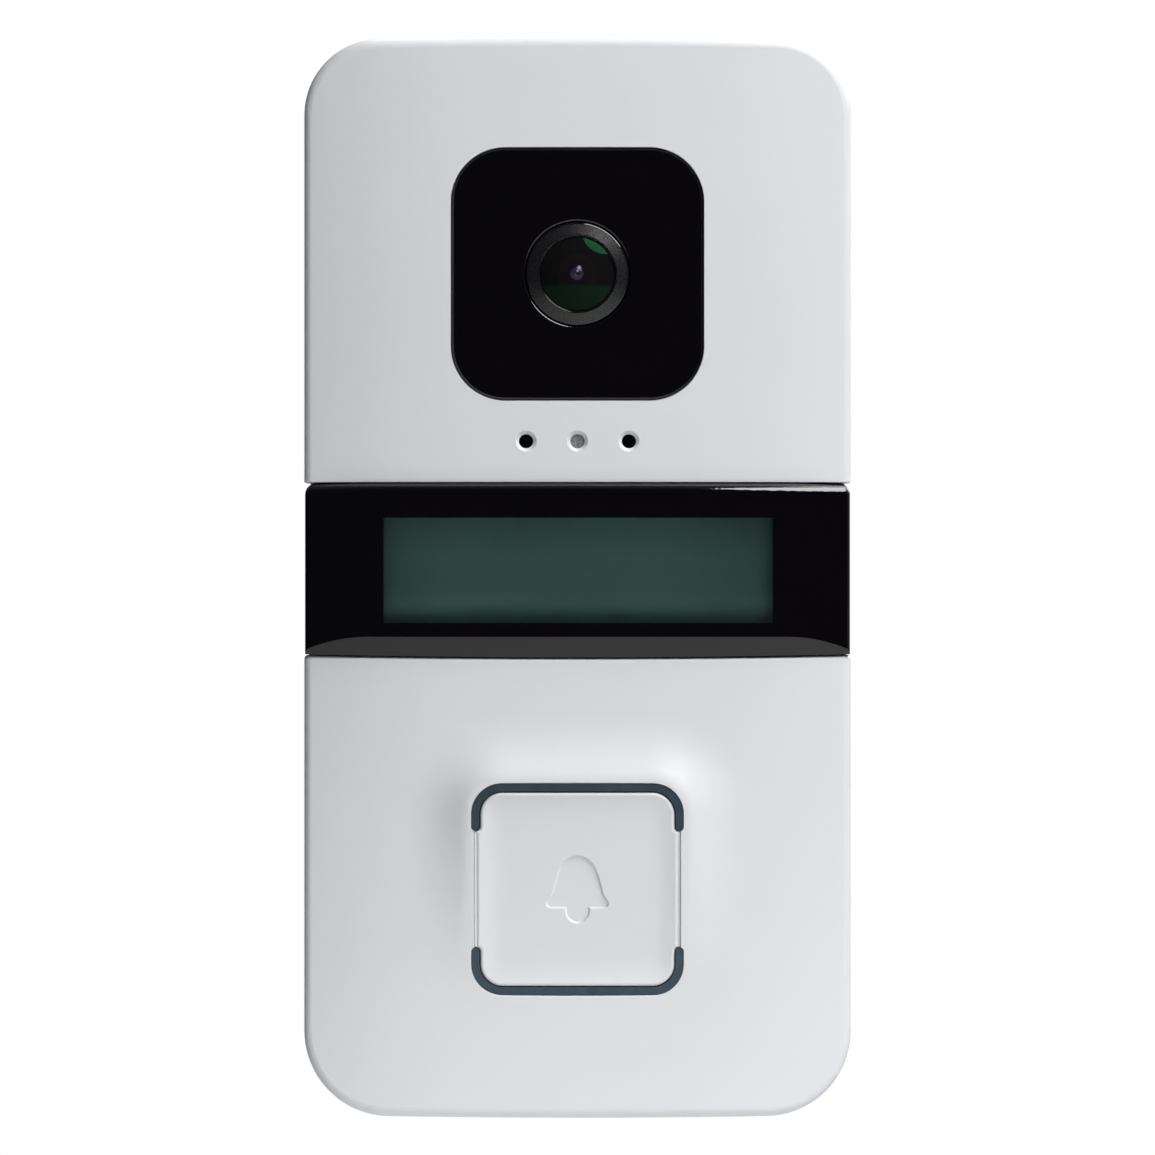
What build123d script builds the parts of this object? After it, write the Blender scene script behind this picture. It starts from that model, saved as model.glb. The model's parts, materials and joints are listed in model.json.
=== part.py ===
from build123d import *
import math
import os

os.makedirs("parts", exist_ok=True)

# ------------------------------------------------------------------
# Wall-mounted video door station, millimetres.
# Frame: X to the right seen from the street, Z up, the wall is the plane
# y = 0 and the front faces -Y. The origin is the centre of the back face.
# Depths d are measured from the wall towards the front, so y = -d.
# ------------------------------------------------------------------

# outline of the body, front view
W = 82.0                 # width
Z_TOP = 81.0             # top edge at the middle
Z_BOT = -80.9            # bottom edge at the middle
R_TOP = 11.3             # top corner radius
R_BOT = 12.7             # bottom corner radius
BOW_TOP = 0.55           # rise of the top edge over the full width
BOW_BOT = 0.40           # fall of the bottom edge over the full width

# depths
D_FRONT = 32.0           # crown of the white covers
D_PANEL = 33.33          # crown of the black band
D_SPLIT = 15.3           # back edge of the front covers
D_RIM = 15.0             # front edge of the rear housing
WALL = 2.2               # moulded wall of the covers
EDGE_R = 1.45            # rounding of the front perimeter

# crown of the front, curvature rises smoothly between A and B
CROWN_K0 = 1.0 / 500.0
CROWN_K1 = 1.0 / 110.0
CROWN_A = 14.0
CROWN_B = 28.0

# black band
BAND_TOP = 14.15
BAND_BOT = -11.95
BAND_BOW = 0.45          # the lower edge bows down in the middle
BAND_HW = 40.85
BEVEL_Z = -8.88          # upper edge of the long lower bevel
BEVEL_DROP = 1.22        # depth that the bevel loses on its way down
PANEL_T = 2.4
GAP = 0.10               # shadow gap between band and covers

# display
LCD_W, LCD_H = 58.3, 15.75
LCD_X, LCD_Z = 0.1, 1.07

# camera
CAM_Z = 45.42
WIN = 37.75
WIN_R = 8.1
LENS_R = 7.74
WIN_HOLE_R = 7.87

# sound and light holes
HOLE_Z = 20.4
HOLE_PITCH = 7.7
HOLE_R = 1.07
HOLE_SINK_R = 1.58       # radius of the countersink at the surface

# call button
BTN_Z = -46.6
RING_H = 15.85           # half size of the ring outside
RING_R = 4.6
RING_W = 1.20
RING_END = 8.75          # half height of the stretch without ring
BTN_TRAVEL = 0.9
CAP_GAP = 0.12
EAR_X = 15.10            # half width of the cap between the ring ends
TAB_X = 15.45            # edge of the cover there
LAP_X = 15.39            # half width of the cap's lap below the groove
GROOVE = 0.34            # depth of the groove between cap and cover
MOUND_H = 2.4
MOUND_RIM = 2.4          # the mound's slope fades out over this width at the ring
MOUND_BLEND = 10.0       # width of the slope around the ring
MOUND_DIP = 0.03         # share of the height by which the rim dips towards the ring
DISH = 0.62
DISH_W = 4.2             # width of the sloping margin of the dish
LIP = 0.22               # sloping lip around the button's well
BELL_DEPTH = 0.32
BELL_TAPER = 45          # degrees, slope of the bell's walls

# wall bracket
BR_T = 1.5
BR_W, BR_ZT, BR_ZB = 58.0, 68.0, -73.0
SCREW_X, SCREW_Z = 24.0, 55.0
BOX_PITCH = 60.0
HOOK_X = 20.0
HOOK_Z = (40.0, -22.0)
PANEL_BACK = 4.2         # back panel of the rear housing
PANEL_FRONT = 6.2

# boards
PCB0, PCB1 = 11.5, 13.1
CAMB0, CAMB1 = 14.8, 16.0


# ------------------------------------------------------------------ helpers
def slab(sk, d0, d1):
    """Sketch drawn in (x, z), extruded from depth d0 to depth d1."""
    return extrude(Plane.XZ.offset(d0) * sk, amount=d1 - d0)


def rr(w, h, r, x=0.0, z=0.0):
    return Pos(x, z) * RectangleRounded(w, h, r)


def rect(w, h, x=0.0, z=0.0):
    return Pos(x, z) * Rectangle(w, h)


def disc(r, x=0.0, z=0.0):
    return Pos(x, z) * Circle(r)


def cyl(r, d0, d1, x=0.0, z=0.0):
    return slab(disc(r, x, z), d0, d1)


def tube(r1, r0, d0, d1, x=0.0, z=0.0):
    return slab(disc(r1, x, z) - disc(r0, x, z), d0, d1)


def box(x0, x1, z0, z1, d0, d1):
    return slab(rect(x1 - x0, z1 - z0, (x0 + x1) / 2, (z0 + z1) / 2), d0, d1)


def solid_of(s):
    """The one solid of a shape that should be a single piece."""
    ss = s.solids()
    return ss[0] if len(ss) == 1 else s


def crown(x):
    t = abs(x)
    a, b, k0, k1 = CROWN_A, CROWN_B, CROWN_K0, CROWN_K1
    if t <= a:
        return k0 * t * t / 2
    L = b - a
    u = min(t, b) - a
    y = k0 * a * a / 2 + k0 * a * u + k0 * u * u / 2 + (k1 - k0) * u ** 3 / (6 * L)
    if t > b:
        s = k0 * a + (k0 + k1) / 2 * L
        v = t - b
        y += s * v + k1 * v * v / 2
    return y


def panel_drop(x):
    t = abs(x)
    return crown(x) + (((t - 31.5) ** 2 / 112.0) if t > 31.5 else 0.0)


def smooth(t):
    t = max(0.0, min(1.0, t))
    return t * t * t * (t * (6 * t - 15) + 10)


def soft_clamp(t):
    """0..1 ramp with rounded ends."""
    e = 0.10
    if t <= -e:
        return 0.0
    if t < e:
        return (t + e) ** 2 / (4 * e)
    if t < 1 - e:
        return t
    if t < 1 + e:
        return 1 - (1 + e - t) ** 2 / (4 * e)
    return 1.0


def sd_square(x, z, half, r):
    qx, qz = abs(x) - half + r, abs(z) - half + r
    return math.hypot(max(qx, 0), max(qz, 0)) + min(max(qx, qz), 0) - r


def plateau(z):
    return MOUND_H * soft_clamp((z - (BTN_Z - 16.2)) / 32.4)


def mound_fall(u):
    """Share of the height at distance u outside the ring: the slope rises over
    the first MOUND_RIM and then fades slowly to nothing at MOUND_BLEND."""
    a, b = MOUND_RIM, MOUND_BLEND
    first = a * 2 / 3
    total = first + (b - a) / 2.2
    if u <= 0:
        return 1.0 - MOUND_DIP
    if u < a:
        t = u / a
        return 1 - MOUND_DIP * (1 - t) ** 3 - a * (t * t - t ** 3 / 3) / total
    if u < b:
        t = (u - a) / (b - a)
        return (b - a) / 2.2 * (1 - t) ** 2.2 / total
    return 0.0


def mound(x, z):
    return plateau(z) * mound_fall(sd_square(x, z - BTN_Z, RING_H, RING_R))


def dish_ramp(v):
    t = max(0.0, min(1.0, v / DISH_W))
    return 1 - (1 - t) ** 2


def cap_dish(x, z):
    h = RING_H - RING_W - CAP_GAP
    return DISH * dish_ramp(h + 0.5 - abs(x)) * dish_ramp(h - abs(z - BTN_Z))


def lower_front(x, z):
    return D_FRONT - crown(x) + mound(x, z)


def cap_front(x, z):
    return D_FRONT - crown(x) + plateau(z) - cap_dish(x, z)


def linspace(a, b, n):
    return [a + (b - a) * i / (n - 1) for i in range(n)]


def crown_block(dfront, z0, z1, dback=-5.0, fn=crown, hw=44.0, n=45):
    pts = [(x, -(dfront - fn(x))) for x in linspace(-hw, hw, n)]
    edges = [Spline(*pts), Line(pts[-1], (hw, -dback)), Line((hw, -dback), (-hw, -dback)),
             Line((-hw, -dback), pts[0])]
    return extrude(Plane.XY.offset(z0) * make_face(edges), amount=z1 - z0)


def field_block(fn, x0, x1, z0, z1, nx, nz, depth=60.0):
    rows = [[(x, -fn(x, z), z) for x in linspace(x0, x1, nx)] for z in linspace(z0, z1, nz)]
    f = Face.make_surface_from_array_of_points(rows, tol=0.006, min_deg=3, max_deg=3)
    return Solid.extrude(f, Vector(0, depth, 0))


def outline(ins=0.0):
    hw = W / 2 - ins
    zt, zb = Z_TOP - ins, Z_BOT + ins
    e = [ThreePointArc((-hw, zt - BOW_TOP), (0, zt), (hw, zt - BOW_TOP)),
         Line((hw, zt - BOW_TOP), (hw, zb + BOW_BOT)),
         ThreePointArc((hw, zb + BOW_BOT), (0, zb), (-hw, zb + BOW_BOT)),
         Line((-hw, zb + BOW_BOT), (-hw, zt - BOW_TOP))]
    f = make_face(e)
    vs = f.vertices()
    f = fillet([v for v in vs if v.Y > 0], R_TOP - ins)
    f = fillet([v for v in f.vertices() if v.Y < -70 and abs(v.X) > hw - 0.01], R_BOT - ins)
    return f


def band_outline(grow=0.0, hw=None, zt=None, zb=None):
    hw = BAND_HW + grow if hw is None else hw
    zt = BAND_TOP + grow if zt is None else zt
    zb = BAND_BOT - grow if zb is None else zb
    b = BAND_BOW * (hw / 41.0) ** 2
    e = [Line((-hw, zt), (hw, zt)), Line((hw, zt), (hw, zb + b)),
         ThreePointArc((hw, zb + b), (0, zb), (-hw, zb + b)), Line((-hw, zb + b), (-hw, zt))]
    return make_face(e)


nodes = {}


def put(name, shape):
    nodes[name] = shape
    print(name, len(shape.solids()), round(shape.volume, 1), flush=True)


# ------------------------------------------------------------------ master forms
PLAN = outline()
IN22 = outline(WALL)
MOUND_SURF = field_block(lower_front, -28, 28, BTN_Z - 28, BTN_Z + 28, 53, 53)

# screws that join the covers and the band to the rear housing
COVER_SCREWS_UP = [(-34.3, 69.6), (34.3, 69.6), (-34.8, 19.5), (34.8, 19.5)]
COVER_SCREWS_MID = [(-35.4, 1.1), (35.4, 1.1)]
COVER_SCREWS_LOW = [(-34.8, -18.0), (34.8, -18.0), (-33.6, -67.6), (33.6, -67.6)]
COVER_SCREWS = COVER_SCREWS_UP + COVER_SCREWS_MID + COVER_SCREWS_LOW


def boss(x, z, r, d0, blk, hole_r, hole_d1):
    return (cyl(r, d0, 40, x, z) & blk), cyl(hole_r, d0 - 1, hole_d1, x, z)


# ------------------------------------------------------------------ upper cover
def make_upper():
    zc = BAND_TOP + GAP
    outer = slab(PLAN & rect(100, 100, 0, zc + 50), D_SPLIT, 45) & crown_block(D_FRONT, 0, 90)
    outer = solid_of(outer)
    es = [e for e in outer.edges() if (e @ 0.5).Y < -26 and (e @ 0.5).Z > zc + 0.5]
    outer = fillet(es, EDGE_R)
    es = [e for e in outer.edges() if (e @ 0.5).Y < -26 and abs((e @ 0.5).Z - zc) < 0.01]
    outer = fillet(es, 0.10)
    inner_blk = crown_block(D_FRONT - WALL, 0, 90)
    cav = slab(IN22 & rect(100, 100, 0, zc + 2.0 + 50), 5, 45) & inner_blk
    c = outer - cav
    fill = crown_block(D_FRONT - 1.0, 0, 90)
    # ledge that carries the camera window
    c = c + (slab(rr(42.4, 42.4, 9.2, 0, CAM_Z), 27.9, 40) & fill)
    holes = []
    for x, z in COVER_SCREWS_UP:
        b, h = boss(x, z, 3.0, D_SPLIT, fill, 1.30, 24.0)
        c = c + b
        holes.append(h)
    for sx in (-1, 1):
        for dz in (-11, 11):
            b, h = boss(sx * 23.5, CAM_Z + dz, 2.4, CAMB1, fill, 0.98, 22.0)
            c = c + b
            holes.append(h)
        b, h = boss(sx * 15.6, HOLE_Z, 2.1, 25.25, fill, 0.80, 29.0)
        c = c + b
        holes.append(h)
        for sz in (-1, 1):
            holes.append(cyl(0.78, 27.0, 29.3, sx * 16.7, CAM_Z + sz * 16.7))
    for h in holes:
        c = c - h
    c = c - slab(rr(WIN + 0.2, WIN + 0.2, WIN_R + 0.1, 0, CAM_Z), 29.85, 45)
    c = c - slab(rr(33.4, 33.4, 6.0, 0, CAM_Z), 20, 45)
    for x in (-HOLE_PITCH, 0, HOLE_PITCH):
        c = c - cyl(HOLE_R, 20, 45, x, HOLE_Z)
        s = D_FRONT - crown(x)
        top = HOLE_SINK_R + 0.3
        cone = Plane(origin=(x, -(s + 0.3), HOLE_Z), z_dir=(0, 1, 0)) * Cone(
            top, HOLE_R, top - HOLE_R, align=(Align.CENTER, Align.CENTER, Align.MIN))
        c = c - cone
    return solid_of(c)


put("upper_cover", make_upper())

# ------------------------------------------------------------------ call button plan shapes
RING_OUT = rr(2 * RING_H, 2 * RING_H, RING_R, 0, BTN_Z)
RING_IN = rr(2 * (RING_H - RING_W), 2 * (RING_H - RING_W), RING_R - RING_W + 0.05, 0, BTN_Z)
RING_MID = RING_H - RING_W / 2


def c_shape(sign):
    band = RING_OUT - RING_IN
    keep = rect(50, 20, 0, BTN_Z + sign * (RING_END + 10 + RING_W / 2))
    s = band & keep
    for sx in (-1, 1):
        s = s + disc(RING_W / 2, sx * RING_MID, BTN_Z + sign * (RING_END + RING_W / 2))
    return s


C_UP, C_LO = c_shape(1), c_shape(-1)
CS = C_UP + C_LO
CS_CUT = offset(CS, 0.05)
CS_GAP = offset(CS, CAP_GAP)
EARS = rect(2 * EAR_X, 2 * (RING_END + 1.2), 0, BTN_Z)
CAP_PLAN = (rr(2 * (RING_H - RING_W - CAP_GAP), 2 * (RING_H - RING_W - CAP_GAP), 3.1, 0, BTN_Z) + EARS) - CS_GAP
LAPS = rect(2 * LAP_X, 2 * (RING_END + 0.6), 0, BTN_Z) - CS_GAP
WELL_PLAN = rr(2 * (RING_H - RING_W + 0.1), 2 * (RING_H - RING_W + 0.1), 3.3, 0, BTN_Z) + \
    rect(2 * TAB_X, 2 * (RING_END + 1.2), 0, BTN_Z) + CS_CUT
WELL_LOCAL = rr(2 * RING_H + 0.1, 2 * RING_H + 0.1, RING_R + 0.05, 0, 0)
for sx in (-1, 1):
    WELL_LOCAL = WELL_LOCAL - rect(2.0, 2 * (RING_END - 0.05), sx * (TAB_X + 1.0), 0)


def button_plane(depth):
    """Plane along the slope of the raised field at the button's centre."""
    return Plane(origin=(0, -depth, BTN_Z), x_dir=(1, 0, 0), z_dir=(0, -1, -MOUND_H / 32.4))

# ------------------------------------------------------------------ lower cover
BTN_SCREWS = [(sx * 21.2, BTN_Z + sz * 13.5) for sx in (-1, 1) for sz in (-1, 1)]
SPK_Z0, SPK_Z1 = -77.9, -71.6
SPK_D0, SPK_D1 = 16.6, 27.4


def make_lower():
    region = band_outline(GAP, hw=46.0, zt=40.0)
    plan = PLAN & rect(100, 100, 0, -45) - region
    outer = solid_of(slab(plan, D_SPLIT, 45) & crown_block(D_FRONT, -90, 0))
    es = [e for e in outer.edges() if (e @ 0.5).Y < -26 and
          (abs((e @ 0.5).X) > 40.9 or (e @ 0.5).Z < -60)]
    outer = fillet(es, EDGE_R)
    es = [e for e in outer.edges() if (e @ 0.5).Y < -26 and (e @ 0.5).Z > -12.6]
    outer = fillet(es, 0.6)
    pad = slab(rr(2 * (RING_H + MOUND_BLEND), 2 * (RING_H + MOUND_BLEND), RING_R + MOUND_BLEND, 0, BTN_Z), 26, 45)
    outer = solid_of(outer + (pad & (Pos(0, -0.012, 0) * MOUND_SURF)))
    inner = crown_block(D_FRONT - WALL, -90, 0)
    cplan = IN22 & rect(100, 100, 0, BAND_BOT - GAP - 2.0 - 50)
    c = outer - (slab(cplan, 5, 45) & inner)
    fill = crown_block(D_FRONT - 1.0, -90, 0)
    holes = []
    for x, z in COVER_SCREWS_LOW:
        b, h = boss(x, z, 3.0, D_SPLIT, fill, 1.30, 24.0)
        c = c + b
        holes.append(h)
    for x, z in BTN_SCREWS:
        b, h = boss(x, z, 2.5, 25.05, fill, 1.0, 29.0)
        c = c + b
        holes.append(h)
    for h in holes:
        c = c - h
    # well with a sloping lip all round
    c = c - slab(WELL_PLAN, 20, 45)
    c = c - extrude(button_plane(lower_front(0, BTN_Z) - LIP) * WELL_LOCAL, amount=0.42, taper=-45)
    # sound grille in the bottom wall
    for i in range(7):
        x = (i - 3) * 4.0
        s = Plane(origin=(x, -22.0, Z_BOT - 1), z_dir=(0, 0, 1)) * SlotCenterToCenter(7.4, 1.3, rotation=90)
        c = c - extrude(s, amount=6)
    return solid_of(c)


put("lower_cover", make_lower())


# ------------------------------------------------------------------ black band
def make_band():
    blk = crown_block(D_PANEL, -20, 20, fn=panel_drop)
    b = solid_of(slab(band_outline(), D_SPLIT, 45) & blk)
    es = [e for e in b.edges() if abs((e @ 0.5).X) > BAND_HW - 0.01 and (e @ 0.5).Y < -26
          and abs((e @ 0.2).Z - (e @ 0.8).Z) > 5]
    b = fillet(es, 0.7)
    es = [e for e in b.edges() if (e @ 0.5).Y < -26 and abs((e @ 0.5).Z - BAND_TOP) < 0.01]
    b = fillet(es, 1.7)
    # long bevel along the lower edge
    fall = abs(BAND_BOT - BEVEL_Z)
    lead = 1.6
    up = lead * BEVEL_DROP / fall
    pts = [(x, -(D_PANEL + up - crown(x))) for x in linspace(-44, 44, 45)]
    f = make_face([Spline(*pts), Line(pts[-1], (44, -60)), Line((44, -60), (-44, -60)), Line((-44, -60), pts[0])])
    d = Vector(0, BEVEL_DROP, -fall).normalized()
    tool = extrude(Plane.XY.offset(BEVEL_Z + lead) * f, amount=9.0, dir=d)
    b = solid_of(b - tool)
    cav = slab(rect(77.2, 22.9, 0, 1.15), 5, 45) & crown_block(D_PANEL - PANEL_T, -20, 20, fn=panel_drop)
    b = b - cav
    fill = crown_block(D_PANEL - 1.0, -20, 20, fn=panel_drop)
    for x, z in COVER_SCREWS_MID:
        p, h = boss(x, z, 2.5, D_SPLIT, fill, 1.30, 24.0)
        b = b + p - h
    for sx in (-1, 1):
        for z in (9.3, -7.0):
            p, h = boss(sx * 35.4, z, 2.2, 26.05, fill, 0.80, 28.6)
            b = b + p - h
    b = b - slab(rr(LCD_W, LCD_H, 0.4, LCD_X, LCD_Z), 26, 45)
    return solid_of(b)


put("display_frame", make_band())
put("display_window", solid_of((slab(rr(LCD_W, LCD_H, 0.4, LCD_X, LCD_Z), 20, 45)
                                & crown_block(D_PANEL, -20, 20, fn=panel_drop))
                               - crown_block(D_PANEL - PANEL_T, -20, 20, fn=panel_drop)))

# LCD stack behind the window
lf = box(-32.5, 32.5, -10.0, 12.3, 22.6, 29.1)
lf = lf - slab(rr(59.4, 16.9, 0.6, LCD_X, LCD_Z), 20, 40) - slab(rect(60.8, 18.8, LCD_X, LCD_Z), 20, 28.55)
for sx in (-1, 1):
    for z in (9.3, -7.0):
        x0, x1 = sorted((sx * 32.0, sx * 37.6))
        lf = lf + box(x0, x1, z - 2.3, z + 2.3, 24.4, 26.0) - cyl(0.95, 20, 30, sx * 35.4, z)
put("lcd_frame", solid_of(lf))
put("lcd_glass", box(LCD_X - 30.3, LCD_X + 30.3, LCD_Z - 9.3, LCD_Z + 9.3, 26.5, 28.5))
put("lcd_backlight", box(LCD_X - 30.2, LCD_X + 30.2, LCD_Z - 9.2, LCD_Z + 9.2, 23.9, 26.45))
lb = box(LCD_X - 30.2, LCD_X + 30.2, LCD_Z - 9.2, LCD_Z + 9.2, 22.7, 23.85)
lb = lb + box(-9, 9, 4.4, 8.0, 21.2, 22.75)
put("lcd_board", solid_of(lb))


def pan_screw(x, z, d_head, head_r, head_h, shank_r, d_tip, slot=0.5, length=1.4):
    """Screw driven from behind: the head is on the wall side."""
    s = cyl(head_r, d_head - head_h, d_head, x, z) + cyl(shank_r, d_head - 0.1, d_tip, x, z)
    s = s - box(x - head_r * 0.62, x + head_r * 0.62, z - slot / 2, z + slot / 2, d_head - head_h - 1,
                d_head - head_h * 0.45)
    s = s - box(x - slot / 2, x + slot / 2, z - head_r * 0.62, z + head_r * 0.62, d_head - head_h - 1,
                d_head - head_h * 0.45)
    return s


def group(shapes):
    out = []
    for s in shapes:
        out += list(s.solids())
    return Compound(children=out)


# fasteners of one kind share one node
SMALL_SCREWS, BOARD_SCREW_SET = [], []
SMALL_SCREWS += [pan_screw(sx * 35.4, z, 24.35, 1.6, 1.2, 0.76, 28.0) for sx in (-1, 1) for z in (9.3, -7.0)]

# ------------------------------------------------------------------ camera window
win = slab(rr(WIN, WIN, WIN_R, 0, CAM_Z), 29.85, 45) & crown_block(D_FRONT - 0.05, 20, 70)
win = solid_of(win - cyl(WIN_HOLE_R, 20, 45, 0, CAM_Z))
es = [e for e in win.edges() if (e @ 0.5).Y < -30.9 and
      math.hypot((e @ 0.5).X, (e @ 0.5).Z - CAM_Z) > 12]
win = chamfer(es, 0.35)
es = [e for e in win.edges() if (e @ 0.5).Y < -30.9 and
      math.hypot((e @ 0.5).X, (e @ 0.5).Z - CAM_Z) < 8.2]
win = fillet(es, 0.28)
put("camera_window", solid_of(win))

# ------------------------------------------------------------------ camera
cb = box(-26.2, 26.2, CAM_Z - 14, CAM_Z + 14, CAMB0, CAMB1)
CAM_SCREWS = [(sx * 23.5, CAM_Z + dz) for sx in (-1, 1) for dz in (-11, 11)]
for x, z in CAM_SCREWS:
    cb = cb - cyl(1.15, 10, 20, x, z)
for sx in (-1, 1):
    cb = cb - cyl(0.9, 10, 20, sx * 12.6, CAM_Z + 6.0)
put("camera_board", solid_of(cb))
BOARD_SCREW_SET += [pan_screw(x, z, CAMB0, 1.9, 1.25, 0.95, 21.0) for x, z in CAM_SCREWS]
sens = box(-4.2, 4.2, CAM_Z - 3.6, CAM_Z + 3.6, 16.0, 16.9)
put("image_sensor", solid_of(sens))

hold = box(-15.0, 15.0, CAM_Z - 8.6, CAM_Z + 8.6, 16.0, 19.4)
hold = hold + cyl(7.6, 19.3, 23.9, 0, CAM_Z)
hold = hold - box(-4.5, 4.5, CAM_Z - 3.9, CAM_Z + 3.9, 15, 17.3)
hold = hold - box(-11.2, 11.2, CAM_Z - 4.15, CAM_Z + 4.15, 17.4, 18.6)
hold = hold - cyl(3.2, 15, 20, 0, CAM_Z) - cyl(6.0, 18.75, 30, 0, CAM_Z)
for sx in (-1, 1):
    hold = hold - cyl(0.75, 15, 18.9, sx * 12.6, CAM_Z + 6.0)
put("lens_holder", solid_of(hold))
SMALL_SCREWS += [pan_screw(sx * 12.6, CAM_Z + 6.0, CAMB0, 1.5, 1.1, 0.72, 18.6) for sx in (-1, 1)]

car = box(-10.4, 3.7, CAM_Z - 4.0, CAM_Z + 4.0, 17.5, 18.5)
for x in (0.0, -6.7):
    car = car - cyl(2.7, 17, 19, x, CAM_Z) - cyl(3.1, 17.85, 19, x, CAM_Z)
put("ircut_carrier", solid_of(car))
put("ircut_filters", group([cyl(3.08, 17.86, 18.36, x, CAM_Z) for x in (0.0, -6.7)]))
coil = box(15.05, 20.6, CAM_Z - 4.5, CAM_Z + 4.5, 16.05, 21.0)
coil = coil - box(16.4, 19.3, CAM_Z - 2.6, CAM_Z + 2.6, 18.6, 22)
put("ircut_coil", solid_of(coil))

# lens: barrel, lock ring, front ring, three glasses
bar = cyl(5.95, 18.85, 25.6, 0, CAM_Z) + cyl(LENS_R - 0.1, 25.4, 30.3, 0, CAM_Z)
bar = bar - cyl(3.0, 18, 23.4, 0, CAM_Z) - cyl(1.3, 23, 24.2, 0, CAM_Z) - cyl(3.6, 24.0, 26.4, 0, CAM_Z)
bar = bar - cyl(4.9, 26.3, 28.9, 0, CAM_Z) - cyl(5.9, 28.8, 31, 0, CAM_Z)
for i in range(24):
    a = math.radians(15 * i)
    bar = bar - cyl(0.28, 26.2, 30.0, (LENS_R - 0.1) * math.cos(a), CAM_Z + (LENS_R - 0.1) * math.sin(a))
put("lens_barrel", solid_of(bar))


def revolve_profile(pts):
    """Closed (r, d) polygon turned about the lens axis."""
    f = make_face(Polyline(*[(r, -d) for r, d in pts], close=True))
    return Pos(0, 0, CAM_Z) * revolve(f, axis=Axis.Y, revolution_arc=360)


ring = revolve_profile([(5.62, 30.35), (7.72, 30.35), (LENS_R, 31.49), (7.70, 31.60), (7.61, 31.66), (7.52, 31.704),
                        (5.90, 32.17), (5.80, 32.16), (5.62, 32.00)])
put("lens_front_ring", solid_of(ring))


def arc_from_axis(r, d_axis, d_rim):
    """Arc of a sphere from (0, d_axis) to (r, d_rim), level at the axis."""
    h = d_axis - d_rim
    if abs(h) < 1e-6:
        return Line((0, -d_axis), (r, -d_rim))
    rad = (r * r + h * h) / (2 * abs(h))
    dm = d_axis - math.copysign(rad - math.sqrt(rad * rad - r * r / 4), h)
    return ThreePointArc((0, -d_axis), (r / 2, -dm), (r, -d_rim))


def lens_glass(r, d_edge, d_back_rim, d_apex, d_back):
    """Glass with a domed front and a hollow or flat back."""
    e = [arc_from_axis(r, d_apex, d_edge), Line((r, -d_edge), (r, -d_back_rim)),
         arc_from_axis(r, d_back, d_back_rim), Line((0, -d_back), (0, -d_apex))]
    return solid_of(Pos(0, 0, CAM_Z) * revolve(make_face(e), axis=Axis.Y, revolution_arc=360))


put("lens_front_glass", lens_glass(5.58, 31.84, 28.95, 33.16, 29.55))
put("lens_inner_glasses", group([lens_glass(4.85, 27.2, 26.45, 28.15, 26.45),
                                 lens_glass(2.95, 21.9, 20.0, 22.6, 20.0)]))

# infrared lamps
irb = slab(rr(39.6, 39.6, 7.5, 0, CAM_Z) - disc(8.3, 0, CAM_Z), 26.85, 27.85)
for sx in (-1, 1):
    for sz in (-1, 1):
        irb = irb - cyl(0.95, 20, 30, sx * 16.7, CAM_Z + sz * 16.7)
put("ir_board", solid_of(irb))
leds = []
for x in (-8.7, -2.9, 2.9, 8.7):
    for sz in (-1, 1):
        z = CAM_Z + sz * 11.6
        led = box(x - 1.5, x + 1.5, z - 1.5, z + 1.5, 27.85, 28.7)
        dome = Pos(x, -28.55, z) * Sphere(1.2)
        leds.append(solid_of(led + (dome & box(x - 2, x + 2, z - 2, z + 2, 28.6, 30))))
put("ir_leds", group(leds))
SMALL_SCREWS += [pan_screw(sx * 16.7, CAM_Z + sz * 16.7, 26.85, 1.5, 1.1, 0.76, 29.1)
                 for sx in (-1, 1) for sz in (-1, 1)]
put("lens_shroud", solid_of(tube(10.0, 8.5, 27.85, 29.84, 0, CAM_Z)))

# ------------------------------------------------------------------ microphones and light sensor
ms = slab(rr(23.6, 7.4, 1.5, 0, HOLE_Z), 26.6, 40) & crown_block(D_FRONT - WALL - 0.02, 0, 40)
for sx in (-1, 1):
    ms = ms - cyl(1.0, 20, 40, sx * HOLE_PITCH, HOLE_Z) - cyl(2.1, 20, 27.9, sx * HOLE_PITCH, HOLE_Z)
ms = ms - cyl(HOLE_R + 0.04, 20, 40, 0, HOLE_Z)
put("mic_seal", solid_of(ms))
put("microphones", group([cyl(2.05, 25.25, 27.0, sx * HOLE_PITCH, HOLE_Z) for sx in (-1, 1)]))
put("light_pipe", solid_of(cyl(HOLE_R - 0.03, 25.95, 31.15, 0, HOLE_Z)))
sb = slab(rr(37.0, 8.2, 1.0, 0, HOLE_Z), 24.2, 25.2)
for sx in (-1, 1):
    sb = sb - cyl(0.95, 20, 30, sx * 15.6, HOLE_Z)
sb = sb + box(-1.0, 1.0, HOLE_Z - 0.8, HOLE_Z + 0.8, 25.1, 25.9)
put("sensor_board", solid_of(sb))
SMALL_SCREWS += [pan_screw(sx * 15.6, HOLE_Z, 24.2, 1.6, 1.1, 0.76, 28.5) for sx in (-1, 1)]

# ------------------------------------------------------------------ call button
CAP_SURF = field_block(cap_front, -17.5, 17.5, BTN_Z - 17.5, BTN_Z + 17.5, 45, 45, 30.0)


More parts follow.
